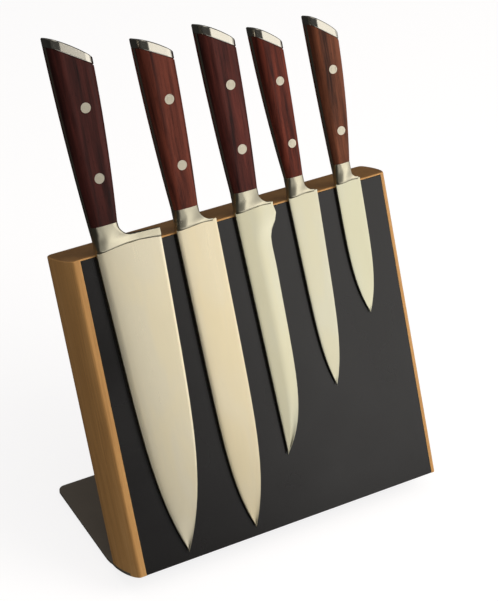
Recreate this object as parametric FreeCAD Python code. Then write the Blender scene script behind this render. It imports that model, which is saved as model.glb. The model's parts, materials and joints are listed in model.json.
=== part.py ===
import FreeCAD, Part
import math
import os

from FreeCAD import Vector

# Free-standing magnetic knife rack with five forged knives, in millimetres.
#
# Row frame: +Z up, the rack faces -Y, X runs along its width. The origin is the middle of the
# rubber sheet's underside, on the counter.
# Board frame: x as in the row, n into the board from its front face, v up that face. Its zero
# is the middle of the front face's bottom edge. Shapes are drawn as Vector(x, n, v) and then
# leaned back into the row frame by lean_back().

# ---- driving dimensions: rack -----------------------------------------------------------------
face_width = 219.0
face_height = 210.0
board_depth = 37.0
lean_angle = 23.0            # how far the board leans back from upright, degrees
side_bow = 5.8               # how far each side bulges out past the front face
side_bow_depth = 24.0        # depth behind the front face where the bulge is widest
back_corner_radius = 4.0
top_edge_radius = 1.0

panel_thickness = 2.0
panel_edge_radius = 0.4
panel_left_margin = 3.6      # wood left showing on the panel's left
panel_right_margin = 1.0     # and on its right, where the panel runs almost to the edge
panel_top_margin = 1.2

foot_thickness = 2.0
foot_lip = 8.0               # depth of the wood lip in front of the plate
foot_bend_start = 39.0       # depth n where the plate starts to bend towards level
foot_bend_radius = 25.0      # underside of the bend
foot_reach = 122.5           # rear edge of the plate behind the front face's bottom edge
foot_corner_radius = 5.0

sheet_thickness = 1.0        # rubber sheet under the level part of the plate
sheet_margin = 6.0           # steel left bare around the sheet
sheet_corner_radius = 4.0

screw_count = 3
screw_spacing = 80.0
screw_depth = 22.0           # depth n of the row of screws
screw_radius = 2.0
screw_head_radius = 3.8
screw_length = 30.0
screw_slot_width = 1.2
screw_slot_depth = 1.0

magnet_rows = {"lower": 45.0, "middle": 110.0, "upper": 175.0}    # height of each row's middle
magnets_per_row = 7
magnet_spacing = 28.0
magnet_radius = 10.0
magnet_thickness = 5.0
keeper_thickness = 1.5
keeper_length = 196.0
keeper_height = 22.0

fit_gap = 0.05               # clearance between neighbouring parts
cut_margin = 1.0             # how far a cutting solid reaches past what it cuts
blade_gap = 0.08             # clearance between a hanging blade and the panel
shoulder_gap = 0.3           # clearance between a bolster and the top of the board
cutter = 400.0               # longer than any part; size of the solids used for cutting

# ---- driving dimensions: knives ---------------------------------------------------------------
# x values run from the left end of the front face; the spine is on the left and the cutting
# edge on the right. Along the blade s runs from 0 at the bolster to 1 at the tip, and each side
# moves towards the tip by linear * s + (the rest) * s ** power. The bolster is shelf_height tall
# beside the choil's curve and heel_height tall at the heel.
knives = {
    "chef": {
        "blade_length": 203.6, "spine_x": 13.5, "edge_x": 58.2, "tip_x": 34.5, "thickness": 3.4,
        "spine_linear": 7.4, "spine_power": 5.3, "edge_linear": 4.7, "edge_power": 5.4,
        "heel_flare": 0.0, "shelf_height": 6.9, "heel_height": 5.9, "choil_radius": 10.4,
        "neck_x": 21.9, "butt_x": 22.2, "neck_v": 227.8, "wood_top_v": 331.9,
        "neck_width": 17.4, "butt_width": 27.0, "neck_depth": 13.0, "butt_depth": 18.5,
        "butt_slope": 32.0, "rivet_radius": 3.2, "rivet_places": (0.28, 0.70),
    },
    "carving": {
        "blade_length": 203.2, "spine_x": 68.2, "edge_x": 96.9, "tip_x": 83.5, "thickness": 3.1,
        "spine_linear": 4.2, "spine_power": 7.3, "edge_linear": -0.9, "edge_power": 6.7,
        "heel_flare": 0.0, "shelf_height": 1.8, "heel_height": 1.8, "choil_radius": 11.0,
        "neck_x": 77.2, "butt_x": 76.2, "neck_v": 224.2, "wood_top_v": 321.2,
        "neck_width": 16.0, "butt_width": 23.4, "neck_depth": 12.5, "butt_depth": 18.5,
        "butt_slope": 27.7, "rivet_radius": 3.1, "rivet_places": (0.28, 0.71),
    },
    "boning": {
        "blade_length": 163.0, "spine_x": 109.6, "edge_x": 131.8, "tip_x": 115.3, "thickness": 3.0,
        "spine_linear": 5.7, "spine_power": 3.0, "edge_linear": -0.3, "edge_power": 8.3,
        "heel_flare": 6.6, "shelf_height": 1.8, "heel_height": 1.8, "choil_radius": 10.5,
        "neck_x": 119.0, "butt_x": 118.5, "neck_v": 224.2, "wood_top_v": 319.9,
        "neck_width": 16.5, "butt_width": 23.3, "neck_depth": 12.5, "butt_depth": 18.5,
        "butt_slope": 31.0, "rivet_radius": 3.1, "rivet_places": (0.28, 0.71),
    },
    "utility": {
        "blade_length": 128.5, "spine_x": 148.2, "edge_x": 170.0, "tip_x": 159.2, "thickness": 2.7,
        "spine_linear": 4.2, "spine_power": 6.4, "edge_linear": 3.0, "edge_power": 6.5,
        "heel_flare": 0.0, "shelf_height": 1.8, "heel_height": 1.8, "choil_radius": 8.8,
        "neck_x": 154.9, "butt_x": 152.6, "neck_v": 224.2, "wood_top_v": 310.6,
        "neck_width": 11.4, "butt_width": 19.6, "neck_depth": 10.5, "butt_depth": 15.5,
        "butt_slope": 33.5, "rivet_radius": 2.75, "rivet_places": (0.25, 0.72),
    },
    "paring": {
        "blade_length": 88.1, "spine_x": 183.3, "edge_x": 202.0, "tip_x": 192.8, "thickness": 2.5,
        "spine_linear": 0.6, "spine_power": 4.4, "edge_linear": 0.9, "edge_power": 5.0,
        "heel_flare": 0.0, "shelf_height": 1.8, "heel_height": 1.8, "choil_radius": 7.0,
        "neck_x": 189.6, "butt_x": 192.2, "neck_v": 224.2, "wood_top_v": 308.6,
        "neck_width": 11.4, "butt_width": 19.6, "neck_depth": 10.5, "butt_depth": 15.5,
        "butt_slope": 36.0, "rivet_radius": 2.8, "rivet_places": (0.25, 0.72),
    },
}
blade_sections = 16          # sections that a blade is lofted through
section_crowding = 1.7       # power that crowds the sections together towards the tip
blade_overlap = 0.2          # how far a blade runs up past the bolster's arched lower edge
tip_width = 0.5
edge_thickness = 0.3
bevel_width = 1.6            # ground bevel along the cutting edge
bevel_thickness = 0.9        # blade thickness where the bevel starts
bevel_share = 0.8            # and at most this share of the spine's thickness
distal_taper = 0.5           # share of the spine's thickness lost between bolster and tip
flare_start = 0.03           # the boning knife's wide heel fades out between these two places
flare_end = 0.125

bolster_base_share = 0.72    # thickness of the bolster at the blade, as a share of the neck's
bolster_heel_share = 1.25    # and at the heel, as a share of the blade's thickness
bolster_arch = 0.05          # rise of the bolster's lower edge, as a share of its width
neck_spread = 1.0            # how much further right the neck reaches at the blade
choil_inset = 0.4            # the choil's curve starts this far inside the neck's side
tang_thickness = 3.0
handle_middle = 0.45         # where the handle's middle section sits between neck and butt
spine_flare_share = 0.64     # share of the flare reached there on the spine side
edge_flare_share = 0.78      # and on the cutting side
corner_share = 0.34          # corner radius of a handle section, as a share of its depth
cap_spine_height = 6.0
cap_edge_height = 4.6
cap_crown = 1.6              # how far the cap's end bulges above the line between its corners
cap_edge_radius = 0.8
handle_overrun = 20.0        # the handle's outer shape runs on this far before it is cut
rivet_ring_radius = 1.9
rivet_ring_width = 0.35
rivet_ring_depth = 0.2
rivet_offset = 1.2           # rivets sit this far from the handle's middle line, towards the edge

# ---- worked out from the driving dimensions ---------------------------------------------------
half_face = face_width / 2
lean_radians = math.radians(lean_angle)
bend_end_reach = (foot_bend_start * math.cos(lean_radians)
                  + foot_bend_radius * math.sin(lean_radians))
foot_drop = (foot_bend_start * math.sin(lean_radians)
             + foot_bend_radius * (1 - math.cos(lean_radians)))
half_sheet_length = (foot_reach - bend_end_reach) / 2 - sheet_margin
board_y = -(foot_reach + bend_end_reach) / 2
board_z = foot_drop + sheet_thickness
bend_y = board_y + bend_end_reach             # centre line of the plate's bend
bend_z = sheet_thickness + foot_bend_radius
back_bow = side_bow * math.sqrt(1 - (board_depth / side_bow_depth - 1) ** 2)
half_foot = half_face + back_bow
pocket_depth = keeper_thickness + magnet_thickness + 2 * fit_gap
panel_left = panel_left_margin - half_face
panel_right = half_face - panel_right_margin
panel_back = panel_thickness + fit_gap

x_axis = Vector(1, 0, 0)
n_axis = Vector(0, 1, 0)
v_axis = Vector(0, 0, 1)


# ---- shared shapes ----------------------------------------------------------------------------
def lean_back(shape):
    """Put a shape drawn in the board frame into the row frame."""
    placed = shape.copy()
    placed.rotate(Vector(0, 0, 0), x_axis, -lean_angle)
    placed.translate(Vector(0, board_y, board_z))
    return placed


def lean_point(n, v):
    """Row-frame place of a point at X = 0 given in the board frame."""
    return Vector(0, board_y + n * math.cos(lean_radians) + v * math.sin(lean_radians),
                  board_z - n * math.sin(lean_radians) + v * math.cos(lean_radians))


def box(x_range, y_range, z_range):
    """Box between three pairs of limits."""
    corner = Vector(x_range[0], y_range[0], z_range[0])
    return Part.makeBox(x_range[1] - x_range[0], y_range[1] - y_range[0],
                        z_range[1] - z_range[0], corner)


def cylinder_along_n(radius, x, v, n_start, n_end):
    return Part.makeCylinder(radius, n_end - n_start, Vector(x, n_start, v), n_axis)


def closed_face(edges):
    return Part.Face(Part.Wire(edges))


def polygon_edges(points):
    return [Part.makeLine(a, b) for a, b in zip(points, points[1:])]


def upright_edges(shape):
    """Straight edges that run along the third axis."""
    return [edge for edge in shape.Edges
            if abs(edge.tangentAt(edge.FirstParameter).z) > 0.99]


def rounded_section(x_left, x_right, n_middle, depth, v):
    """Rectangle with rounded corners in a plane of constant v, as a wire."""
    radius = corner_share * depth
    n_front = n_middle - depth / 2
    n_back = n_middle + depth / 2
    corners = [(x_right - radius, n_front + radius, -90), (x_right - radius, n_back - radius, 0),
               (x_left + radius, n_back - radius, 90), (x_left + radius, n_front + radius, 180)]
    edges = []
    previous = None
    first = None
    for x, n, start in corners:
        arc_points = []
        for turn in (0, 45, 90):
            angle = math.radians(start + turn)
            arc_points.append(Vector(x + radius * math.cos(angle),
                                     n + radius * math.sin(angle), v))
        if previous is not None:
            edges.append(Part.makeLine(previous, arc_points[0]))
        else:
            first = arc_points[0]
        edges.append(Part.Arc(*arc_points).toShape())
        previous = arc_points[2]
    edges.append(Part.makeLine(previous, first))
    return Part.Wire(edges)


# ---- rack -------------------------------------------------------------------------------------
def plan_outline(depth_reach):
    """Board seen along v: flat front, sides bulging as half ellipses, straight past its back."""
    edges = [Part.makeLine(Vector(-half_face, 0, 0), Vector(half_face, 0, 0)),
             Part.makeLine(Vector(-half_foot, depth_reach, 0), Vector(half_foot, depth_reach, 0))]
    for side in (1, -1):
        middle = Vector(side * half_face, side_bow_depth, 0)
        front = Vector(side * half_face, 0, 0)
        widest = middle + Vector(side * side_bow, 0, 0)
        back = Vector(side * half_foot, board_depth, 0)
        ellipse = Part.Ellipse(front, widest, middle)
        edges.append(Part.ArcOfEllipse(ellipse, 0, ellipse.parameter(back)).toShape())
        if depth_reach > board_depth:
            edges.append(Part.makeLine(back, Vector(side * half_foot, depth_reach, 0)))
    return closed_face(Part.__sortEdges__(edges))


def screw_starts():
    """Middle of each screw's head, on the plate's underside, in the board frame."""
    first = -(screw_count - 1) / 2
    return [Vector((first + i) * screw_spacing, screw_depth, 0) for i in range(screw_count)]


def screw_blank(start, gap):
    """Countersunk wood screw with a pointed end, grown by the gap."""
    head_height = screw_head_radius - screw_radius
    point_height = 2 * screw_radius
    head = Part.makeCone(screw_head_radius + gap, screw_radius + gap, head_height, start, v_axis)
    shank = Part.makeCylinder(screw_radius + gap, screw_length - point_height, start, v_axis)
    point_start = start + v_axis * (screw_length - point_height)
    point = Part.makeCone(screw_radius + gap, 0, point_height + gap, point_start, v_axis)
    return head.fuse([shank, point]).removeSplitter()


def wood_board():
    """Solid board with bowed sides, a rebate for the panel and pockets for the magnets."""
    board = plan_outline(board_depth).extrude(Vector(0, 0, face_height))
    back_corners = [edge for edge in upright_edges(board)
                    if edge.CenterOfMass.y > board_depth / 2]
    board = board.makeFillet(back_corner_radius, back_corners)
    top_rim = [edge for edge in board.Edges if edge.BoundBox.ZMin > face_height - cut_margin]
    board = board.makeFillet(top_edge_radius, top_rim)

    cuts = [box((panel_left - fit_gap, panel_right + fit_gap), (-cut_margin, panel_back),
                (-cut_margin, face_height - panel_top_margin + fit_gap))]
    half_keeper = keeper_length / 2 + fit_gap
    for height in magnet_rows.values():
        reach = keeper_height / 2 + fit_gap
        cuts.append(box((-half_keeper, half_keeper),
                        (panel_back - cut_margin, panel_back + pocket_depth),
                        (height - reach, height + reach)))
    cuts.append(box((-cutter, cutter), (foot_lip - fit_gap, cutter),
                    (-cut_margin, foot_thickness + fit_gap)))
    cuts.extend(screw_blank(start, fit_gap) for start in screw_starts())
    return lean_back(board.cut(cuts))


def front_panel():
    panel = box((panel_left, panel_right), (0, panel_thickness),
                (0, face_height - panel_top_margin))
    front_rim = [edge for edge in panel.Edges if edge.BoundBox.YMax < panel_thickness / 2]
    return lean_back(panel.makeFillet(panel_edge_radius, front_rim))


def magnet_row(height):
    n_start = panel_back + fit_gap
    first = -(magnets_per_row - 1) / 2
    discs = [cylinder_along_n(magnet_radius, (first + i) * magnet_spacing, height,
                              n_start, n_start + magnet_thickness)
             for i in range(magnets_per_row)]
    return lean_back(Part.makeCompound(discs))


def keeper_strip(height):
    """Steel strip behind a row of magnets, at the bottom of its pocket."""
    n_start = panel_back + fit_gap + magnet_thickness
    strip = box((-keeper_length / 2, keeper_length / 2), (n_start, n_start + keeper_thickness),
                (height - keeper_height / 2, height + keeper_height / 2))
    return lean_back(strip)


def foot_plate():
    """Steel plate under the board, bent back into a level foot on the counter."""
    def bend_point(radius, angle):
        return Vector(-cutter / 2, bend_y - radius * math.sin(angle),
                      bend_z - radius * math.cos(angle))

    top_radius = foot_bend_radius - foot_thickness
    turns = (lean_radians, lean_radians / 2, 0)
    underside = [bend_point(foot_bend_radius, turn) for turn in turns]
    top = [bend_point(top_radius, turn) for turn in turns]
    to_edge = Vector(-cutter / 2, 0, 0)
    rear_y = board_y + foot_reach
    front_line = polygon_edges([underside[0], lean_point(foot_lip, 0) + to_edge,
                                lean_point(foot_lip, foot_thickness) + to_edge, top[0]])
    rear_line = polygon_edges([top[2], Vector(-cutter / 2, rear_y, top[2].z),
                               Vector(-cutter / 2, rear_y, underside[2].z), underside[2]])
    bends = [Part.Arc(*underside).toShape(), Part.Arc(*top).toShape()]
    profile = closed_face(Part.__sortEdges__(front_line + rear_line + bends))
    plan = plan_outline(cutter)
    plan.translate(Vector(0, 0, -cutter / 2))
    plate = profile.extrude(Vector(cutter, 0, 0))
    plate = plate.common(lean_back(plan.extrude(Vector(0, 0, cutter))))
    plate = plate.makeFillet(foot_corner_radius, upright_edges(plate))
    return plate.cut([lean_back(screw_blank(start - v_axis * fit_gap, fit_gap))
                      for start in screw_starts()])


def foot_screws():
    screws = []
    for start in screw_starts():
        screw = screw_blank(start, 0)
        half_slot = screw_slot_width / 2
        for turn in (0, 90):
            slot = box((-half_slot, half_slot), (-screw_head_radius / 2, screw_head_radius / 2),
                       (-cut_margin, screw_slot_depth))
            slot.rotate(Vector(0, 0, 0), v_axis, turn)
            slot.translate(start)
            screw = screw.cut(slot)
        screws.append(lean_back(screw))
    return Part.makeCompound(screws)


def rubber_sheet():
    """Non-slip sheet glued under the level foot."""
    half_width = half_foot - sheet_margin
    sheet = box((-half_width, half_width), (-half_sheet_length, half_sheet_length),
                (0, sheet_thickness))
    return sheet.makeFillet(sheet_corner_radius, upright_edges(sheet))


# ---- knives -----------------------------------------------------------------------------------
def blade_middle(knife):
    """Depth n of the plane through the middle of a hanging knife."""
    return -(blade_gap + knife["thickness"] / 2)


def spine_at(knife, s):
    drop = knife["tip_x"] - knife["spine_x"] - knife["spine_linear"]
    return knife["spine_x"] + knife["spine_linear"] * s + drop * s ** knife["spine_power"]


def edge_at(knife, s):
    belly = knife["edge_x"] - knife["tip_x"] - knife["edge_linear"]
    edge = knife["edge_x"] - knife["edge_linear"] * s - belly * s ** knife["edge_power"]
    fade = min(max((s - flare_start) / (flare_end - flare_start), 0), 1)
    return edge + knife["heel_flare"] * (1 - fade * fade * (3 - 2 * fade))


def arch_rise(knife):
    """Rise of the bolster's lower edge between the spine and the heel."""
    return bolster_arch * (edge_at(knife, 0) - knife["spine_x"])


def blade_section(knife, s, v):
    """Six-sided section of the blade: spine, flanks and the ground bevel."""
    n_middle = blade_middle(knife)
    middle = (spine_at(knife, s) + edge_at(knife, s)) / 2
    half_width = max((edge_at(knife, s) - spine_at(knife, s)) / 2, tip_width / 2)
    left = middle - half_width - half_face
    right = middle + half_width - half_face
    half_spine = knife["thickness"] / 2 * (1 - distal_taper * s * s)
    half_bevel = min(bevel_thickness / 2, half_spine * bevel_share)
    bevel_x = right - min(bevel_width, half_width)
    outline = [(left, -half_spine), (bevel_x, -half_bevel), (right, -edge_thickness / 2),
               (right, edge_thickness / 2), (bevel_x, half_bevel), (left, half_spine)]
    points = [Vector(x, n_middle + n, v) for x, n in outline]
    return Part.makePolygon(points + points[:1])


def blade(knife):
    """Ground blade, lofted from inside the bolster down to the tip."""
    places = [1 - (1 - i / (blade_sections - 1)) ** section_crowding
              for i in range(1, blade_sections)]
    if knife["heel_flare"]:
        places = sorted(places + [flare_start, (flare_start + flare_end) / 2, flare_end])
    top_v = face_height + shoulder_gap + arch_rise(knife) + blade_overlap
    sections = [blade_section(knife, 0, top_v)]
    for s in places:
        sections.append(blade_section(knife, s, face_height - knife["blade_length"] * s))
    return Part.makeLoft(sections, True, False)


def handle_envelope(knife):
    """Outer shape of the handle from the bolster to past the end of the cap."""
    end_v = knife["wood_top_v"] + handle_overrun
    n_middle = blade_middle(knife)
    neck_left = knife["neck_x"] - knife["neck_width"] / 2 - half_face
    neck_right = neck_left + knife["neck_width"]
    butt_left = knife["butt_x"] - knife["butt_width"] / 2 - half_face
    butt_right = butt_left + knife["butt_width"]
    stations = [(0, 0, 0), (handle_middle, spine_flare_share, edge_flare_share), (1, 1, 1)]
    sections = []
    for place, left_share, right_share in stations:
        left = neck_left + left_share * (butt_left - neck_left)
        right = neck_right + right_share * (butt_right - neck_right)
        swell = (left_share + right_share) / 2
        depth = knife["neck_depth"] + swell * (knife["butt_depth"] - knife["neck_depth"])
        v = knife["neck_v"] + place * (end_v - knife["neck_v"])
        sections.append(rounded_section(left, right, n_middle, depth, v))
    return Part.makeLoft(sections, True, False)


def wood_end_v(knife, x, lift):
    """Height of the wood's sloping end at x, raised by the lift."""
    centre = knife["butt_x"] - half_face
    return knife["wood_top_v"] + lift - (x - centre) * math.tan(math.radians(knife["butt_slope"]))


def outline_along_n(knife, edges):
    """Solid that fills an outline, drawn at n = 0, through the handle's whole depth."""
    depth = 2 * knife["butt_depth"]
    face = closed_face(edges)
    face.translate(Vector(0, -depth / 2, 0))
    return face.extrude(Vector(0, depth, 0))


def below_wood_end(knife, lift):
    """Everything below the wood's sloping end."""
    left = knife["butt_x"] - half_face - knife["butt_width"]
    right = knife["butt_x"] - half_face + knife["butt_width"]
    points = [Vector(left, 0, face_height), Vector(right, 0, face_height),
              Vector(right, 0, wood_end_v(knife, right, lift)),
              Vector(left, 0, wood_end_v(knife, left, lift))]
    return outline_along_n(knife, polygon_edges(points + points[:1]))


def butt_cap(knife, envelope):
    """Polished cap with a crowned end, taller on the spine side."""
    centre = knife["butt_x"] - half_face
    left = centre - knife["butt_width"] / 2 - cut_margin
    right = centre + knife["butt_width"] / 2 + cut_margin
    crown = (cap_spine_height + cap_edge_height) / 2 + cap_crown
    low_left = Vector(left, 0, wood_end_v(knife, left, fit_gap))
    low_right = Vector(right, 0, wood_end_v(knife, right, fit_gap))
    high_right = Vector(right, 0, wood_end_v(knife, right, cap_edge_height))
    high_middle = Vector(centre, 0, wood_end_v(knife, centre, crown))
    high_left = Vector(left, 0, wood_end_v(knife, left, cap_spine_height))
    edges = polygon_edges([high_left, low_left, low_right, high_right])
    edges.append(Part.Arc(high_right, high_middle, high_left).toShape())
    cap = envelope.common(outline_along_n(knife, edges))
    crown_face = max(cap.Faces, key=lambda face: face.CenterOfMass.z)
    return cap.makeFillet(cap_edge_radius, crown_face.Edges)


def bolster_web(knife, base_v):
    """Part of the bolster beside the neck: a hollow curve and a shelf out to the heel."""
    n_middle = blade_middle(knife)
    middle_x = knife["neck_x"] - half_face
    neck_right = middle_x + knife["neck_width"] / 2
    heel_x = edge_at(knife, 0) - half_face
    radius = knife["choil_radius"]
    shelf_v = base_v + knife["shelf_height"]
    bend_middle = radius * (1 - math.sqrt(0.5))
    bend_x = neck_right - choil_inset
    bend = Part.Arc(Vector(bend_x + radius, -cutter / 2, shelf_v),
                    Vector(bend_x + bend_middle, -cutter / 2, shelf_v + bend_middle),
                    Vector(bend_x, -cutter / 2, shelf_v + radius))
    corners = [(middle_x, shelf_v + radius), (middle_x, base_v), (heel_x, base_v),
               (heel_x, base_v + knife["heel_height"])]
    corners = [Vector(x, -cutter / 2, v) for x, v in corners]
    outline = polygon_edges([bend.EndPoint] + corners + [bend.StartPoint])
    side_view = closed_face(outline + [bend.toShape()]).extrude(Vector(0, cutter, 0))

    half_neck = knife["neck_depth"] * bolster_base_share / 2
    half_heel = knife["thickness"] * bolster_heel_share / 2
    wedge = [(middle_x, -half_neck), (neck_right, -half_neck), (heel_x, -half_heel),
             (heel_x, half_heel), (neck_right, half_neck), (middle_x, half_neck)]
    points = [Vector(x, n_middle + n, 0) for x, n in wedge]
    plan_view = closed_face(polygon_edges(points + points[:1])).extrude(Vector(0, 0, cutter))
    return side_view.common(plan_view)


def below_bolster(knife, base_v):
    """Solid under the bolster's arched lower edge."""
    arch_left = Vector(knife["spine_x"] - half_face - cut_margin, 0, base_v)
    arch_right = Vector(edge_at(knife, 0) - half_face + cut_margin, 0, base_v)
    arch_middle = (arch_left + arch_right) / 2 + v_axis * arch_rise(knife)
    arch = Part.Arc(arch_left, arch_middle, arch_right)
    corners = [arch_right, arch_right - v_axis, arch_left - v_axis, arch_left]
    return outline_along_n(knife, polygon_edges(corners) + [arch.toShape()])


def bolster(knife):
    """Neck of the bolster, with a web that runs out to the heel."""
    n_middle = blade_middle(knife)
    base_v = face_height + shoulder_gap
    neck_left = knife["neck_x"] - knife["neck_width"] / 2 - half_face
    neck_right = neck_left + knife["neck_width"]
    spine_left = knife["spine_x"] - half_face
    base_depth = knife["neck_depth"] * bolster_base_share
    neck = Part.makeLoft([
        rounded_section(neck_left, neck_right, n_middle, knife["neck_depth"], knife["neck_v"]),
        rounded_section(spine_left, neck_right + neck_spread, n_middle, base_depth, base_v),
    ], True, True)
    whole = neck.fuse(bolster_web(knife, base_v)).removeSplitter()
    return whole.cut(below_bolster(knife, base_v))


def rivet_places(knife):
    """x and v of the two rivets."""
    grip = knife["wood_top_v"] - knife["neck_v"]
    lean = (knife["butt_x"] - knife["neck_x"]) / grip
    middle_x = knife["neck_x"] + rivet_offset - half_face
    return [(middle_x + lean * share * grip, knife["neck_v"] + share * grip)
            for share in knife["rivet_places"]]


def rivet_holes(knife, gap):
    reach = knife["butt_depth"]
    n_middle = blade_middle(knife)
    return [cylinder_along_n(knife["rivet_radius"] + gap, x, v, n_middle - reach, n_middle + reach)
            for x, v in rivet_places(knife)]


def rivets(knife, envelope):
    """Flush rivets with a fine ring cut into each end."""
    solids = []
    n_middle = blade_middle(knife)
    for (x, v), blank in zip(rivet_places(knife), rivet_holes(knife, 0)):
        rivet = blank.common(envelope)
        bounds = rivet.optimalBoundingBox()
        for side, face_n in ((-1, bounds.YMin), (1, bounds.YMax)):
            n_start, n_end = sorted((face_n - side * rivet_ring_depth, n_middle + side * cutter))
            ring = cylinder_along_n(rivet_ring_radius, x, v, n_start, n_end)
            core = cylinder_along_n(rivet_ring_radius - rivet_ring_width, x, v, n_start, n_end)
            rivet = rivet.cut(ring.cut(core))
        solids.append(rivet)
    return Part.makeCompound(solids)


def knife_parts(knife):
    """Every part of one knife, in the board frame."""
    n_middle = blade_middle(knife)
    envelope = handle_envelope(knife)
    grip = envelope.common(below_wood_end(knife, 0))
    for hole in rivet_holes(knife, fit_gap):
        grip = grip.cut(hole)

    wide = (-cutter, cutter)
    half_tang = tang_thickness / 2
    tang_slab = box(wide, (n_middle - half_tang, n_middle + half_tang), wide)
    front_slab = box(wide, (-cutter, n_middle - half_tang - fit_gap),
                     (knife["neck_v"] + fit_gap, cutter))
    back_slab = box(wide, (n_middle + half_tang + fit_gap, cutter),
                    (knife["neck_v"] + fit_gap, cutter))
    forging = blade(knife).fuse([bolster(knife), grip.common(tang_slab)]).removeSplitter()
    return {
        "blade": forging,
        "butt_cap": butt_cap(knife, envelope),
        "scale_front": grip.common(front_slab),
        "scale_back": grip.common(back_slab),
        "rivets": rivets(knife, envelope),
    }


# ---- every node -------------------------------------------------------------------------------
nodes = {
    "wood_board": wood_board(),
    "front_panel": front_panel(),
    "foot_plate": foot_plate(),
    "foot_screws": foot_screws(),
    "rubber_sheet": rubber_sheet(),
}
for row, height in magnet_rows.items():
    nodes["magnets_" + row] = magnet_row(height)
    nodes["keeper_strip_" + row] = keeper_strip(height)
for name, knife in knives.items():
    for piece, shape in knife_parts(knife).items():
        nodes[name + "_" + piece] = lean_back(shape)

os.makedirs("parts", exist_ok=True)
for name, shape in nodes.items():
    shape.exportStep(os.path.join("parts", name + ".step"))
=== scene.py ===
import json
import math

import bmesh
import bpy
import numpy as np
from mathutils import Matrix, Vector


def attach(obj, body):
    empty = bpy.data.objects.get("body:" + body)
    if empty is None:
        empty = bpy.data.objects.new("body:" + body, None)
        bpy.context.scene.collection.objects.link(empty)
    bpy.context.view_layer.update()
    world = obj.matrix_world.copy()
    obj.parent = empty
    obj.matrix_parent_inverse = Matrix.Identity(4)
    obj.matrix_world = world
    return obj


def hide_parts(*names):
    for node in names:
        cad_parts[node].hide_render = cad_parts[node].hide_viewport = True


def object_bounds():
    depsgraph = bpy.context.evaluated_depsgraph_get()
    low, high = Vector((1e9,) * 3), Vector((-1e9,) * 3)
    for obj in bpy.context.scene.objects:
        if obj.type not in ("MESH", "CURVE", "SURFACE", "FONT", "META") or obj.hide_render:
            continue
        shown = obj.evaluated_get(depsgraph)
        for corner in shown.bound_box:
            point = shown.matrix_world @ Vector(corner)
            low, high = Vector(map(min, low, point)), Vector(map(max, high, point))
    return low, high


# Looks of the leaning magnetic knife rack and its five knives.
#
# The frame is in metres. Most shapes and shaders are worked out in the board frame, in
# millimetres: x along the rack's width, n into the board and v up its leaning face.

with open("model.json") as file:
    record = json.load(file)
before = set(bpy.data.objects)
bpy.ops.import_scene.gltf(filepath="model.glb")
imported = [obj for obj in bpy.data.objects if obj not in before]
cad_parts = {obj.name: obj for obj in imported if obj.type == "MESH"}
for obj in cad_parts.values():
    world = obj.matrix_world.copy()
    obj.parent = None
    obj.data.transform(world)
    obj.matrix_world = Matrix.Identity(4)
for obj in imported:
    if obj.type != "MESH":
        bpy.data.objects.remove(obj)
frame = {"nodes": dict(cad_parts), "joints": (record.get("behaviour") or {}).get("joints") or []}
cad_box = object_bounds()

MM = 0.001
KNIVES = ("chef", "carving", "boning", "utility", "paring")

outward = Vector(frame["joints"][0]["axis"]).normalized()    # the knives come straight off the face
lean = math.asin(outward.z)
to_board = Matrix.Rotation(lean, 3, "X") * (1 / MM)     # row frame in metres to board frame
to_row = to_board.inverted()
up_the_face = (to_row @ Vector((0, 0, 1))).normalized()


def board_box(node):
    """Lowest and highest corner of a CAD node in the board frame."""
    points = [to_board @ vertex.co for vertex in frame["nodes"][node].data.vertices]
    low = Vector([min(point[axis] for point in points) for axis in range(3)])
    high = Vector([max(point[axis] for point in points) for axis in range(3)])
    return low, high


board_top = board_box("wood_board")[1].z


# ---- shader tools -----------------------------------------------------------------------------
NOISE_SPREAD = (0.3, 0.7)        # nearly all of a noise's values lie between these
CLOUD_SPREAD = (0.35, 0.65)      # and those of a broad soft noise between these


def add(tree, kind, inputs=None, **settings):
    """Add a shader node; inputs are values or sockets to link. Returns its outputs."""
    node = tree.nodes.new(kind)
    for name, value in settings.items():
        setattr(node, name, value)
    set_inputs(tree, node, inputs or {})
    return node.outputs


def set_inputs(tree, node, inputs):
    """Link sockets to a node's inputs, or set them to plain values."""
    for socket, value in inputs.items():
        if isinstance(value, bpy.types.NodeSocket):
            tree.links.new(value, node.inputs[socket])
        else:
            node.inputs[socket].default_value = value


def new_material(name):
    """New material, with its node tree and its main shader."""
    material = bpy.data.materials.new(name)
    material.use_nodes = True
    return material, material.node_tree, material.node_tree.nodes["Principled BSDF"]


def board_space(tree):
    """Shading point in the board frame, in millimetres."""
    place = add(tree, "ShaderNodeTexCoord")["Object"]
    return add(tree, "ShaderNodeMapping", {"Vector": place, "Rotation": (lean, 0, 0),
                                           "Scale": (1 / MM,) * 3})["Vector"]


def stretch(tree, point, factors, shift=(0, 0, 0)):
    """Point scaled along x, n and v, then shifted."""
    return add(tree, "ShaderNodeMapping", {"Vector": point, "Scale": factors,
                                           "Location": shift})["Vector"]


def noise(tree, point, cells, detail=3.0, roughness=0.5, distortion=0.0, shift=(0, 0, 0)):
    """Noise with this many cells in a millimetre: one number, or three for x, n and v.

    The shift is in cells, and goes with three numbers only.
    """
    scale = cells
    if isinstance(cells, tuple):
        point = stretch(tree, point, cells, shift)
        scale = 1.0
    return add(tree, "ShaderNodeTexNoise", {"Vector": point, "Scale": scale, "Detail": detail,
                                            "Roughness": roughness,
                                            "Distortion": distortion})["Fac"]


def calculate(tree, operation, first, second=0.0):
    """One step of arithmetic."""
    return add(tree, "ShaderNodeMath", {0: first, 1: second}, operation=operation)["Value"]


def weighted_sum(tree, *terms):
    """Sum of (value, weight) pairs."""
    products = [calculate(tree, "MULTIPLY", value, weight) for value, weight in terms]
    total = products[0]
    for product in products[1:]:
        total = calculate(tree, "ADD", total, product)
    return total


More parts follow.
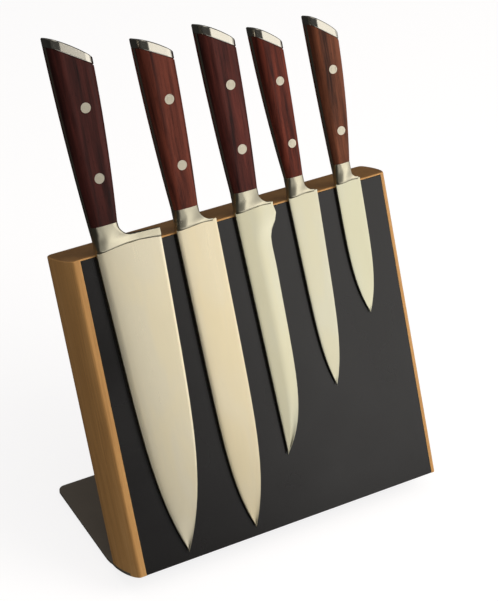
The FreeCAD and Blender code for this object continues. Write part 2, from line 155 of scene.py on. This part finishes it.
def remap(tree, value, old_range, new_range=(0.0, 1.0)):
    """Value moved from one range to another, and kept inside it."""
    inputs = {"Value": value, "From Min": old_range[0], "From Max": old_range[1],
              "To Min": new_range[0], "To Max": new_range[1]}
    return add(tree, "ShaderNodeMapRange", inputs)["Result"]


def smooth_step(tree, value, low, high):
    """0 below the low value and 1 above the high one, with a smooth rise between."""
    return add(tree, "ShaderNodeMapRange", {"Value": value, "From Min": low, "From Max": high},
               interpolation_type="SMOOTHSTEP")["Result"]


def mix(tree, share, first, second):
    """Colour between two colours; the node's sockets go by number, as their names repeat."""
    return add(tree, "ShaderNodeMix", {0: share, 6: first, 7: second}, data_type="RGBA")[2]


def overlay(tree, base, mask, amount, top):
    """Base colour with a top colour laid over it by an amount where the mask is 1."""
    return mix(tree, calculate(tree, "MULTIPLY", mask, amount), base, top)


def ramp(tree, value, stops):
    """Colour ramp through (place, colour) stops."""
    node = tree.nodes.new("ShaderNodeValToRGB")
    elements = node.color_ramp.elements
    while len(elements) < len(stops):
        elements.new(0.5)
    for element, (place, tint) in zip(elements, stops):
        element.position = place
        element.color = tint
    tree.links.new(value, node.inputs["Fac"])
    return node.outputs["Color"]


def bump(tree, height, distance, strength):
    """Surface normal bent by a height; the distance is in millimetres."""
    return add(tree, "ShaderNodeBump", {"Height": height, "Distance": distance * MM,
                                        "Strength": strength})["Normal"]


def dot(tree, first, second):
    """Dot product of two vectors."""
    return add(tree, "ShaderNodeVectorMath", {0: first, 1: second},
               operation="DOT_PRODUCT")["Value"]


def edge_wear_and_highlight(tree, radius):
    """1 on sharp edges, fading to 0 about a radius in millimetres away from them. The lighter
    colours laid over it are wear and a painted edge highlight.
    """
    rounded = add(tree, "ShaderNodeBevel", {"Radius": radius * MM}, samples=4)["Normal"]
    true_normal = add(tree, "ShaderNodeNewGeometry")["Normal"]
    return remap(tree, dot(tree, rounded, true_normal), (0.98, 0.75))


def colour(red, green, blue):
    """Linear colour from 0 to 255 sRGB values."""
    def linear(value):
        share = value / 255
        return share / 12.92 if share <= 0.04045 else ((share + 0.055) / 1.055) ** 2.4
    return (linear(red), linear(green), linear(blue), 1.0)


def scaled_colour(tint, shares):
    """Colour with its red, green and blue multiplied by three shares."""
    return tuple(share * part for share, part in zip(shares, tint)) + (1.0,)


# ---- materials of the rack --------------------------------------------------------------------
def board_wood():
    """Oiled hardwood with its grain running up the board and darker end grain, which on the top
    face is also painted shade; its edges are lighter from wear and a painted edge highlight.
    """
    material, tree, shader = new_material("board_wood")
    point = board_space(tree)
    drift = noise(tree, point, (0.03, 0.03, 0.005), detail=2.0)
    figure = noise(tree, point, (0.16, 0.16, 0.006), roughness=0.55, distortion=0.6)
    fibres = noise(tree, point, (1.4, 1.4, 0.03), detail=4.0, roughness=0.65)
    pores = noise(tree, point, (3.5, 3.5, 0.12), detail=2.0)
    streak = weighted_sum(tree, (figure, 0.35), (fibres, 0.35), (drift, 0.3))
    tone = ramp(tree, streak, [(0.32, colour(170, 122, 68)), (0.5, colour(202, 150, 88)),
                               (0.68, colour(220, 172, 112))])
    pore_mask = smooth_step(tree, pores, 0.62, 0.72)
    tone = overlay(tree, tone, pore_mask, 0.35, colour(124, 84, 46))
    # faces turned up or down the board get a darker colour: end grain, and on the top face also
    # painted shade
    facing_up = dot(tree, add(tree, "ShaderNodeNewGeometry")["Normal"], up_the_face)
    end_grain_and_painted_shade = smooth_step(tree, calculate(tree, "ABSOLUTE", facing_up), 0.6, 0.95)
    tone = overlay(tree, tone, end_grain_and_painted_shade, 0.6, colour(92, 60, 34))
    # lighter edges: wear and a painted edge highlight
    tone = overlay(tree, tone, edge_wear_and_highlight(tree, 0.8), 0.35, colour(236, 196, 142))
    height = calculate(tree, "SUBTRACT", calculate(tree, "MULTIPLY", fibres, 0.5), pore_mask)
    set_inputs(tree, shader, {
        "Base Color": tone,
        "Roughness": remap(tree, fibres, NOISE_SPREAD, (0.42, 0.55)),
        "Specular IOR Level": 0.4,
        "Normal": bump(tree, height, distance=0.06, strength=0.5),
    })
    return material


def panel_black():
    """Satin black laminate with a faint fine texture, and edges lighter from wear and a painted
    edge highlight.
    """
    material, tree, shader = new_material("panel_black")
    point = board_space(tree)
    texture = noise(tree, point, 2.2, detail=2.0)
    clouds = noise(tree, point, 0.02)
    tone = mix(tree, clouds, colour(20, 18, 18), colour(26, 24, 23))
    set_inputs(tree, shader, {
        # lighter edges: wear and a painted edge highlight
        "Base Color": overlay(tree, tone, edge_wear_and_highlight(tree, 0.5), 0.4, colour(84, 78, 74)),
        "Roughness": remap(tree, clouds, CLOUD_SPREAD, (0.22, 0.28)),
        "Specular IOR Level": 0.44,
        "Normal": bump(tree, texture, distance=0.02, strength=0.35),
    })
    return material


def foot_black():
    """Dark grey powder coat, its grey painted lighter to stand in for light that the overhanging
    board keeps off it, and lighter along its edges from wear and a painted edge highlight.
    """
    material, tree, shader = new_material("foot_black")
    point = board_space(tree)
    orange_peel = noise(tree, point, 1.1, detail=2.0)
    clouds = noise(tree, point, 0.03)
    # these greys are painted lighter than the coat: painted light standing in for light the
    # overhanging board keeps off the foot
    tone = mix(tree, clouds, colour(98, 91, 82), colour(112, 105, 94))
    set_inputs(tree, shader, {
        # lighter edges: wear and a painted edge highlight
        "Base Color": overlay(tree, tone, edge_wear_and_highlight(tree, 0.6), 0.5, colour(142, 134, 122)),
        "Roughness": remap(tree, clouds, CLOUD_SPREAD, (0.4, 0.52)),
        "Specular IOR Level": 0.5,
        "Normal": bump(tree, orange_peel, distance=0.05, strength=0.4),
    })
    return material


def rubber():
    """Matt black rubber."""
    material, tree, shader = new_material("rubber")
    grain = noise(tree, board_space(tree), 3.0, detail=2.0)
    set_inputs(tree, shader, {
        "Base Color": mix(tree, grain, colour(24, 24, 24), colour(36, 35, 34)),
        "Roughness": remap(tree, grain, NOISE_SPREAD, (0.75, 0.9)),
        "Normal": bump(tree, grain, distance=0.06, strength=0.5),
    })
    return material


def steel(name, tint, roughness, cells, depth):
    """Plain steel with finishing marks: their cells along x, n and v, and their depth. Its edges
    are lighter from wear and a painted glint.
    """
    material, tree, shader = new_material(name)
    point = board_space(tree)
    marks = noise(tree, point, cells, roughness=0.6)
    clouds = noise(tree, point, 0.035)
    tone = mix(tree, marks, scaled_colour(tint, (0.93, 0.93, 0.93)), tint)
    smear = weighted_sum(tree, (marks, 0.1), (clouds, 0.08))
    average_smear = 0.09
    set_inputs(tree, shader, {
        # lighter edges: wear and a painted glint
        "Base Color": overlay(tree, tone, edge_wear_and_highlight(tree, 0.3), 0.3, (1, 0.98, 0.94, 1)),
        "Metallic": 1.0,
        "Roughness": calculate(tree, "ADD", smear, roughness - average_smear),
        "Normal": bump(tree, marks, distance=depth, strength=0.5),
    })
    return material


# ---- materials of the knives ------------------------------------------------------------------
# lighter steel along the edges: wear and a painted glint
EDGE_WEAR_AND_GLINT = colour(240, 236, 226)


def blade_steel(knife, tint, shift):
    """Blade steel ground along its length, with soft cloudy sheen and edges lighter from wear and a
    painted glint.
    """
    material, tree, shader = new_material(knife + "_steel")
    point = stretch(tree, board_space(tree), (1, 1, 1), (shift, 0, shift))
    marks = noise(tree, point, (4.0, 4.0, 0.05), roughness=0.6)
    clouds = noise(tree, point, (0.06, 0.06, 0.018), detail=2.0, distortion=0.5)
    cooler = scaled_colour(tint, (0.94, 0.96, 1.02))
    tone = mix(tree, smooth_step(tree, clouds, *CLOUD_SPREAD), cooler, tint)
    tone = overlay(tree, tone, marks, 0.3, colour(206, 198, 176))
    smear = weighted_sum(tree, (marks, 0.1), (clouds, 0.12))
    set_inputs(tree, shader, {
        # lighter edges: wear and a painted glint
        "Base Color": overlay(tree, tone, edge_wear_and_highlight(tree, 0.3), 0.3, EDGE_WEAR_AND_GLINT),
        "Metallic": 1.0,
        "Roughness": calculate(tree, "ADD", smear, 0.2),
        "Normal": bump(tree, marks, distance=0.01, strength=0.5),
    })
    return material


def bolster_steel():
    """The same steel polished smoother, with faint marks from the buffing wheel, and edges lighter
    from wear and a painted glint.
    """
    material, tree, shader = new_material("bolster_steel")
    point = board_space(tree)
    marks = noise(tree, point, (0.4, 3.0, 3.0), roughness=0.6)
    clouds = noise(tree, point, 0.12, detail=2.0)
    tone = mix(tree, marks, colour(196, 189, 165), colour(208, 201, 177))
    set_inputs(tree, shader, {
        # lighter edges: wear and a painted glint
        "Base Color": overlay(tree, tone, edge_wear_and_highlight(tree, 0.3), 0.3, EDGE_WEAR_AND_GLINT),
        "Metallic": 1.0,
        "Roughness": remap(tree, clouds, NOISE_SPREAD, (0.27, 0.33)),
        "Normal": bump(tree, marks, distance=0.006, strength=0.3),
    })
    return material


def handle_wood(knife, dark, light, shift):
    """Dark oiled rosewood with long dark and red streaks, and edges lighter from wear and a painted
    edge highlight.
    """
    material, tree, shader = new_material(knife + "_grip")
    point = board_space(tree)
    bands = noise(tree, point, (0.22, 0.22, 0.012), roughness=0.55, distortion=0.4,
                  shift=(shift, 0, shift))
    fibres = noise(tree, point, (2.2, 2.2, 0.05), detail=4.0, roughness=0.7,
                   shift=(0, shift, 0))
    pores = noise(tree, point, (5.0, 5.0, 0.22), detail=2.0, shift=(shift, 0, 0))
    streak = weighted_sum(tree, (bands, 0.7), (fibres, 0.3))
    middle = tuple((a + b) / 2 for a, b in zip(dark, light))
    tone = ramp(tree, streak, [(0.35, dark), (0.5, middle), (0.66, light)])
    pore_mask = smooth_step(tree, pores, 0.6, 0.7)
    tone = overlay(tree, tone, pore_mask, 0.55, scaled_colour(dark, (0.35, 0.35, 0.35)))
    height = calculate(tree, "SUBTRACT", calculate(tree, "MULTIPLY", fibres, 0.4), pore_mask)
    set_inputs(tree, shader, {
        # lighter edges: wear and a painted edge highlight
        "Base Color": overlay(tree, tone, edge_wear_and_highlight(tree, 0.5), 0.2, light),
        "Roughness": remap(tree, fibres, NOISE_SPREAD, (0.4, 0.52)),
        "Specular IOR Level": 0.15,
        "Normal": bump(tree, height, distance=0.05, strength=0.4),
    })
    return material


# ---- meshes measured from the frame -----------------------------------------------------------
SAME_POINT = 0.002 * MM          # vertices closer than this are one
SHARP_ANGLE = math.radians(30)


def board_outline(node):
    """Vertices of a CAD node in the board frame, and its edges as pairs of vertex numbers."""
    mesh = frame["nodes"][node].data
    points = np.array([to_board @ vertex.co for vertex in mesh.vertices])
    edges = np.array([edge.vertices[:] for edge in mesh.edges])
    return points, edges


def slice_at(outline, height):
    """Left, right, front and back limits of a node where it crosses a height v."""
    points, edges = outline
    start, end = points[edges[:, 0]], points[edges[:, 1]]
    crossing = (start[:, 2] - height) * (end[:, 2] - height) < 0
    start, end = start[crossing], end[crossing]
    share = (height - start[:, 2]) / (end[:, 2] - start[:, 2])
    cuts = start + (end - start) * share[:, None]
    return cuts[:, 0].min(), cuts[:, 0].max(), cuts[:, 1].min(), cuts[:, 1].max()


def add_piece(name, mesh, material, knife):
    """Object from a finished bmesh, riding on a knife and standing for its CAD blade."""
    bmesh.ops.remove_doubles(mesh, verts=mesh.verts, dist=SAME_POINT)
    bmesh.ops.recalc_face_normals(mesh, faces=mesh.faces)
    data = bpy.data.meshes.new(name)
    mesh.to_mesh(data)
    mesh.free()
    data.shade_smooth()
    data.set_sharp_from_angle(angle=SHARP_ANGLE)
    data.materials.append(material)
    piece = bpy.data.objects.new(name, data)
    bpy.context.scene.collection.objects.link(piece)
    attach(piece, knife + "_knife")
    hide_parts(knife + "_blade")


def skin(rings):
    """Closed mesh through rings of the same number of points, given in the board frame."""
    mesh = bmesh.new()
    rows = [[mesh.verts.new(to_row @ Vector(point)) for point in ring] for ring in rings]
    for lower, upper in zip(rows, rows[1:]):
        for i in range(len(lower)):
            mesh.faces.new((lower[i - 1], lower[i], upper[i], upper[i - 1]))
    mesh.faces.new(rows[0])
    mesh.faces.new(rows[-1])
    return mesh


def mirrored_ring(front, middle, height):
    """Closed ring from (x, half depth) points, mirrored about the depth n = middle."""
    ring = [(x, middle - depth, height) for x, depth in front]
    return ring + [(x, middle + depth, height) for x, depth in reversed(front)]


def clamp(value):
    return min(max(value, 0.0), 1.0)


def ease(share):
    """Smooth step from 0 to 1."""
    share = clamp(share)
    return share * share * (3 - 2 * share)


def between(first, second, share):
    return first + (second - first) * share


# ---- blades -----------------------------------------------------------------------------------
BLADE_ROWS = 56
ROW_CROWDING = 1.7               # power that crowds the rows together towards the tip
TIP_MARGIN = 0.05                # the last row stays this far inside the CAD tip
TOP_MARGIN = 0.5                 # the first row measured is this far below the board's top
INSIDE_BOLSTER = 0.15            # how far a blade runs up past its bolster's lower edge
SPINE_ROUND = 0.35               # radius of the spine's corners
SPINE_DEPTH = 0.8                # at most this share of the half thickness
SPINE_WIDTH = 0.2                # and at most this share of the blade's width
SPINE_TURNS = (10, 30, 50, 70, 90)
GRIND_START = {"chef": 0.1, "carving": 0.06, "boning": 0.62, "utility": 0.1, "paring": 0.05}
GRIND_POWER = 1.15               # how convex the ground flanks are
FLANK_SHARES = (0.1, 0.22, 0.34, 0.46, 0.58, 0.7, 0.82, 0.92, 0.98, 1.0)
BEVEL_WIDTH = 0.8                # fine bevel along the cutting edge
BEVEL_WIDEST = 0.4               # and at most this share of the blade's width
BEVEL_HALF = 0.15                # half thickness where it starts, as a share of the spine's
EDGE_HALF = 0.06                 # half thickness of the cutting edge itself
EDGE_MARGIN = 0.02               # the cutting edge stays this far inside the CAD edge


def blade_ring(limits, grind, height):
    """Section of a ground blade: rounded spine, convex flanks and a fine bevel."""
    left, right, front, back = limits
    spine = (back - front) / 2
    width = right - left
    bevel = min(BEVEL_WIDTH, BEVEL_WIDEST * width)
    corner = min(SPINE_ROUND, SPINE_DEPTH * spine, SPINE_WIDTH * width)
    half_section = []
    for turn in SPINE_TURNS:
        angle = math.radians(turn)
        half_section.append((left + corner * (1 - math.cos(angle)),
                             spine - corner * (1 - math.sin(angle))))
    shoulder = BEVEL_HALF * spine + EDGE_HALF
    flank = width - corner - bevel
    for share in FLANK_SHARES:
        ground = max(share - grind, 0) / (1 - grind)
        half_section.append((left + corner + flank * share,
                             between(shoulder, spine, 1 - ground ** GRIND_POWER)))
    half_section.append((right - EDGE_MARGIN, EDGE_HALF))
    return mirrored_ring(half_section, (front + back) / 2, height)


def forged_blade(knife, outline, top, material):
    """Blade from inside its bolster to the tip, following the CAD blade."""
    grind = GRIND_START[knife]
    tip = outline[0][:, 2].min() + TIP_MARGIN
    start = board_top - TOP_MARGIN
    rings = [blade_ring(slice_at(outline, start), grind, top)]
    for row in range(BLADE_ROWS + 1):
        height = between(tip, start, (1 - row / BLADE_ROWS) ** ROW_CROWDING)
        rings.append(blade_ring(slice_at(outline, height), grind, height))
    add_piece(knife + "_forged_blade", skin(rings), material, knife)


# ---- bolsters and tangs -----------------------------------------------------------------------
SHOULDER_GAP = 0.3               # the bolsters hang this far above the board
SOUND_SLICE = 0.9                # height above a bolster's lowest point where slices are reliable
BOLSTER_ARCH = 0.05              # rise of a bolster's lower edge, as a share of its width
NECK_CORNER = 0.68               # radius of a bolster's long edges where it meets the scales
CORNER_WIDTH = 1.2               # width of those rounded edges lower down
CORNER_DEPTH = 0.85              # and their depth, all as shares of the bolster's half depth
SOFTENED = 0.5                   # they are that round from this share of the way down
HEEL_CORNER = 0.4                # radius of the right edges at the heel, as a share of the web's
WEB_HALF = 0.6                   # half depth of the web beside the neck, as a share of the blade's
HEEL_HALF = 0.34                 # and at the heel
WEB_START = 0.5                  # the face is thinned out this share of the way from neck to heel
LOWER_EASE = 1.9                 # height over which a bolster's lower edge rounds off
LOWER_INSET = 0.7                # and how far it rounds in
LOWER_TURNS = (25, 50, 75, 90)
LEAST_HEEL = 0.6                 # least height of the heel above the rounding
HEEL_SHARES = (0.0, 0.35, 0.7, 0.99)
NECK_SHARES = (0.06, 0.13, 0.2, 0.27, 0.34, 0.42, 0.5, 0.58, 0.68, 0.78, 0.89, 0.997)
HEEL_STEP = 0.4                  # the choil starts where the right side is this far inside the heel
NECK_MARGIN = 0.5                # the choil ends at least this far below the scales
NECK_SLICE = 0.1                 # the neck is measured this far below the scales
HALVINGS = 24
FACE_POINTS = 18                 # points across the front of a bolster
ARC_TURNS = (0, 18, 36, 54, 72, 90)
TANG_OVERLAP = 0.02              # the tang reaches this far down into the bolster


def heel_top(outline, heel_x, low, high):
    """Height where the bolster's right side leaves the heel, found by halving."""
    for _ in range(HALVINGS):
        middle = (low + high) / 2
        if slice_at(outline, middle)[1] > heel_x - HEEL_STEP:
            low = middle
        else:
            high = middle
    return low


def bolster_ring(limits, web, thinning, softness, height):
    """Section of a bolster.

    Thinning is 1 where the face thins out fully towards the heel. Softness goes from 0, where
    the left edges are as round as the scales, to 1, where they are rounder.
    """
    left, right, front, back = limits
    web_x, heel_x, web_half, heel_half = web
    neck_half = (back - front) / 2
    corner = neck_half * between(NECK_CORNER, CORNER_WIDTH, softness)
    corner_depth = neck_half * between(NECK_CORNER, CORNER_DEPTH, softness)
    start = left + corner

    def half_depth(x):
        thin = between(web_half, heel_half, clamp((x - web_x) / (heel_x - web_x)))
        return between(neck_half, thin, thinning * ease((x - start) / (web_x - start)))

    edge_half = half_depth(right)
    edge_corner = edge_half * between(NECK_CORNER, HEEL_CORNER, thinning)
    turns = [math.radians(turn) for turn in ARC_TURNS]
    face = [(left + corner * (1 - math.cos(turn)),
             neck_half - corner_depth * (1 - math.sin(turn))) for turn in turns]
    for point in range(1, FACE_POINTS):
        x = min(between(start, heel_x, point / FACE_POINTS), right - edge_corner)
        face.append((x, half_depth(x)))
    for turn in reversed(turns):
        face.append((right - edge_corner * (1 - math.cos(turn)),
                     edge_half - edge_corner * (1 - math.sin(turn))))
    return mirrored_ring(face, (front + back) / 2, height)


def shrunk(ring, centre, middle, inset, height):
    """Ring at another height, drawn in by an inset but at most half way to its middle."""
    half_width = max(abs(x - centre) for x, n, v in ring)
    narrow = 1 - inset / half_width
    return [(centre + (x - centre) * narrow,
             n - math.copysign(min(inset, abs(n - middle) / 2), n - middle), height)
            for x, n, v in ring]


def forged_bolster(knife, outline, base, neck, material):
    """Bolster from its arched lower edge, past the heel and choil, up to the grip."""
    left, heel_x, front, back = slice_at(outline, base + SOUND_SLICE)
    centre, middle = (left + heel_x) / 2, (front + back) / 2
    neck_x = slice_at(outline, neck - NECK_SLICE)[1]
    blade_front, blade_back = slice_at(outline, board_top - TOP_MARGIN)[2:]
    thickness = blade_back - blade_front
    web = (between(neck_x, heel_x, WEB_START), heel_x, WEB_HALF * thickness,
           HEEL_HALF * thickness)
    eased = base + LOWER_EASE
    heel = max(heel_top(outline, heel_x, base + SOUND_SLICE, neck - NECK_MARGIN),
               eased + LEAST_HEEL)

    heights = [between(eased, heel, share) for share in HEEL_SHARES]
    heights += [between(heel, neck, share ** 2) for share in NECK_SHARES]
    rings = []
    for height in heights:
        limits = slice_at(outline, max(height, base + SOUND_SLICE))
        thinning = 1 - ease((height - heel) / (neck - heel))
        softness = ease((neck - height) / (neck - base) / SOFTENED)
        rings.append(bolster_ring(limits, web, thinning, softness, height))
    lowest = rings[0]
    for turn in LOWER_TURNS:
        inset = LOWER_INSET * (1 - math.cos(math.radians(turn)))
        height = base + LOWER_EASE * (1 - math.sin(math.radians(turn)))
        rings.insert(0, shrunk(lowest, centre, middle, inset, height))

    def arched(point):
        """Point raised with the lower edge's arch, a parabola that fades out by the heel's top."""
        x, n, v = point
        across = clamp((x - left) / (heel_x - left))
        fade = max(1 - (v - base) / (heel - base), 0)
        rise = BOLSTER_ARCH * (heel_x - left)
        return x, n, v + 4 * rise * across * (1 - across) * fade

    rings = [[arched(point) for point in ring] for ring in rings]
    add_piece(knife + "_forged_bolster", skin(rings), material, knife)


def tang(knife, neck, material):
    """Full tang between the scales: the CAD forging above its bolster."""
    mesh = bmesh.new()
    mesh.from_mesh(frame["nodes"][knife + "_blade"].data)
    bmesh.ops.remove_doubles(mesh, verts=mesh.verts, dist=SAME_POINT)
    everything = mesh.verts[:] + mesh.edges[:] + mesh.faces[:]
    cut = to_row @ Vector((0, 0, neck - TANG_OVERLAP))
    bmesh.ops.bisect_plane(mesh, geom=everything, plane_co=cut, plane_no=up_the_face,
                           clear_inner=True)
    rim = [edge for edge in mesh.edges if edge.is_boundary]
    bmesh.ops.contextual_create(mesh, geom=rim)
    add_piece(knife + "_tang", mesh, material, knife)


def forge(knife, blade_material, bolster_material):
    """The three forged pieces that stand for one CAD blade."""
    outline = board_outline(knife + "_blade")
    base = board_top + SHOULDER_GAP
    neck = board_box(knife + "_scale_front")[0].z
    left, right = slice_at(outline, base + SOUND_SLICE)[:2]
    blade_top = base + BOLSTER_ARCH * (right - left) + INSIDE_BOLSTER
    forged_blade(knife, outline, blade_top, blade_material)
    forged_bolster(knife, outline, base, neck, bolster_material)
    tang(knife, neck, bolster_material)


# ---- finishes ---------------------------------------------------------------------------------
GRIP_COLOURS = {                 # dark and light streaks of each handle
    "chef": (colour(30, 13, 12), colour(82, 37, 32)),
    "carving": (colour(48, 20, 16), colour(126, 62, 46)),
    "boning": (colour(36, 16, 15), colour(106, 50, 42)),
    "utility": (colour(40, 18, 16), colour(128, 58, 42)),
    "paring": (colour(48, 26, 18), colour(134, 78, 54)),
}
BLADE_TINTS = {
    "chef": colour(232, 220, 188),
    "carving": colour(226, 211, 175),
    "boning": colour(206, 201, 172),
    "utility": colour(204, 199, 172),
    "paring": colour(202, 199, 171),
}
GRIP_SHIFT = 37.0                # each knife's grain is taken from this much further along
CLOUD_SHIFT = 61.0               # and so are the clouds in its blade
FOOT_EDGE_RADIUS = 0.4
WELD_DISTANCE = 0.001            # vertices of a CAD node closer than this are one
EASED_ANGLE = 50                 # edges that turn by more degrees than this are rounded
EASED_STEPS = 2


def dress(node, material):
    """Give a CAD node its finished material."""
    slots = frame["nodes"][node].data.materials
    slots.clear()
    slots.append(material)


def ease_edges(node, radius):
    """Round the sharp edges of a CAD node a little."""
    weld = frame["nodes"][node].modifiers.new("weld", "WELD")
    weld.merge_threshold = WELD_DISTANCE * MM
    bevel = frame["nodes"][node].modifiers.new("ease", "BEVEL")
    bevel.width = radius * MM
    bevel.segments = EASED_STEPS
    bevel.limit_method = "ANGLE"
    bevel.angle_limit = math.radians(EASED_ANGLE)


def finish_rack():
    dress("wood_board", board_wood())
    dress("front_panel", panel_black())
    dress("foot_plate", foot_black())
    ease_edges("foot_plate", FOOT_EDGE_RADIUS)
    dress("rubber_sheet", rubber())
    dress("foot_screws", steel("screw_steel", colour(168, 168, 170), roughness=0.35,
                               cells=(1, 1, 1), depth=0.01))
    magnet = steel("magnet_nickel", colour(190, 186, 178), roughness=0.22,
                   cells=(0.6, 0.6, 0.6), depth=0.005)
    keeper = steel("keeper_steel", colour(150, 150, 152), roughness=0.45,
                   cells=(0.05, 2, 2), depth=0.02)
    for row in ("lower", "middle", "upper"):
        dress("magnets_" + row, magnet)
        dress("keeper_strip_" + row, keeper)


def finish_knives():
    bolster = bolster_steel()
    cap = steel("cap_steel", colour(216, 211, 198), roughness=0.18,
                cells=(1.5, 1.5, 0.4), depth=0.004)
    rivet = steel("rivet_steel", colour(208, 200, 180), roughness=0.34,
                  cells=(2.5, 2.5, 2.5), depth=0.006)
    for number, knife in enumerate(KNIVES):
        grip = handle_wood(knife, *GRIP_COLOURS[knife], GRIP_SHIFT * number)
        forge(knife, blade_steel(knife, BLADE_TINTS[knife], CLOUD_SHIFT * number), bolster)
        dress(knife + "_butt_cap", cap)
        dress(knife + "_rivets", rivet)
        dress(knife + "_scale_front", grip)
        dress(knife + "_scale_back", grip)


# ---- studio -----------------------------------------------------------------------------------
FLOOR_HALF = 20.0                # metres
FLOOR_GLOW = 0.82                # how bright the camera sees the floor
PAINTED_GLOW = 0.75                  # how bright polished steel sees a glow painted on the floor's front right side: a painted reflection
GLOW_SIDE = (0.64, -0.77, 0)      # direction of that glowing side
GLOW_START = 0.2                  # the painted glow comes up between these two distances
GLOW_END = 0.5
SKY_LIGHT = 0.35                 # the sky's strength as ambient light
SKY_REFLECTED = 0.07             # in reflections
SKY_SEEN = 1.1                   # and for the camera

CAMERA_AZIMUTH = 28.75           # degrees round to the left from straight in front
CAMERA_ELEVATION = 35.14
CAMERA_ROLL = 0.354
CAMERA_DISTANCE = 1.2941         # metres
CAMERA_AIM = Vector((0.00133, -0.02102, 0.15718))
FOCAL_LENGTH = 121.35            # millimetres, on Blender's usual sensor


def floor_material():
    """Pale floor. It bounces only mild light, and polished steel sees it dark apart from a glow
    painted on its front right side, a painted reflection of a lit floor.
    """
    material, tree, shader = new_material("floor")
    paths = add(tree, "ShaderNodeLightPath")
    # painted glow: glossy rays alone see the floor's front right side glow, a painted reflection
    # and not a lamp
    towards_card = dot(tree, add(tree, "ShaderNodeTexCoord")["Object"], GLOW_SIDE)
    painted_glow = calculate(tree, "MULTIPLY", smooth_step(tree, towards_card, GLOW_START, GLOW_END), PAINTED_GLOW)
    reflected = calculate(tree, "MULTIPLY", painted_glow, paths["Is Glossy Ray"])
    seen = calculate(tree, "MULTIPLY", paths["Is Camera Ray"], FLOOR_GLOW)
    set_inputs(tree, shader, {
        "Base Color": mix(tree, paths["Is Glossy Ray"], (0.28, 0.275, 0.27, 1),
                          (0.05, 0.05, 0.05, 1)),
        "Roughness": 0.9,
        "Specular IOR Level": 0.0,
        "Emission Color": (1.0, 0.995, 1.0, 1),
        "Emission Strength": calculate(tree, "ADD", seen, reflected),
    })
    return material


def floor():
    mesh = bpy.data.meshes.new("floor")
    corners = [(x * FLOOR_HALF, y * FLOOR_HALF, 0) for x, y in ((-1, -1), (1, -1), (1, 1), (-1, 1))]
    mesh.from_pydata(corners, [], [(0, 1, 2, 3)])
    mesh.materials.append(floor_material())
    plane = bpy.data.objects.new("floor", mesh)
    bpy.context.scene.collection.objects.link(plane)


def sky():
    """Even studio ambience that the object reflects only dimly."""
    world = bpy.data.worlds.new("studio")
    bpy.context.scene.world = world
    world.use_nodes = True
    tree = world.node_tree
    paths = add(tree, "ShaderNodeLightPath")
    strength = remap(tree, paths["Is Glossy Ray"], (0, 1), (SKY_LIGHT, SKY_REFLECTED))
    seen = calculate(tree, "MULTIPLY", paths["Is Camera Ray"], SKY_SEEN)
    set_inputs(tree, tree.nodes["Background"], {
        "Color": (1.0, 0.985, 0.96, 1),
        "Strength": calculate(tree, "MAXIMUM", strength, seen),
    })


def softbox(name, azimuth, elevation, distance, size, power, tint, reflected=True):
    """Rectangular light aimed at the object's middle; azimuth runs round to the right."""
    centre = (cad_box[0] + cad_box[1]) / 2
    turn, rise = math.radians(azimuth), math.radians(elevation)
    direction = Vector((math.sin(turn) * math.cos(rise), -math.cos(turn) * math.cos(rise),
                        math.sin(rise)))
    light = bpy.data.lights.new(name, "AREA")
    light.shape = "RECTANGLE"
    light.size, light.size_y = size
    light.energy = power
    light.color = tint
    lamp = bpy.data.objects.new(name, light)
    lamp.location = centre + direction * distance
    lamp.rotation_mode = "QUATERNION"
    lamp.rotation_quaternion = direction.to_track_quat("Z", "Y")
    lamp.visible_glossy = reflected
    bpy.context.scene.collection.objects.link(lamp)


def lights():
    """A wide dim card seen in the steel, an unseen key lamp for the rest, and a weak top light."""
    softbox("card", azimuth=46, elevation=15, distance=1.2, size=(1.2, 1.0), power=4.8,
            tint=(1.0, 0.98, 0.94))
    softbox("key", azimuth=46, elevation=36, distance=1.2, size=(0.7, 0.7), power=7,
            tint=(1.0, 0.96, 0.9), reflected=False)
    softbox("top", azimuth=-10, elevation=75, distance=1.4, size=(1.0, 1.0), power=2.6,
            tint=(1.0, 0.98, 0.95))


def camera():
    """Long lens looking down at the rack from its front left."""
    azimuth, elevation = math.radians(CAMERA_AZIMUTH), math.radians(CAMERA_ELEVATION)
    back = Vector((-math.sin(azimuth) * math.cos(elevation),
                   -math.cos(azimuth) * math.cos(elevation), math.sin(elevation)))
    lens = bpy.data.cameras.new("camera")
    lens.lens = FOCAL_LENGTH
    lens.clip_start = 0.05
    lens.clip_end = 50
    view = bpy.data.objects.new("camera", lens)
    view.location = CAMERA_AIM + back * CAMERA_DISTANCE
    view.rotation_mode = "QUATERNION"
    roll = Matrix.Rotation(math.radians(CAMERA_ROLL), 3, "Z").to_quaternion()
    view.rotation_quaternion = back.to_track_quat("Z", "Y") @ roll
    bpy.context.scene.collection.objects.link(view)
    bpy.context.scene.camera = view


finish_rack()
finish_knives()
floor()
sky()
lights()
camera()
bpy.context.scene.view_settings.view_transform = "Standard"
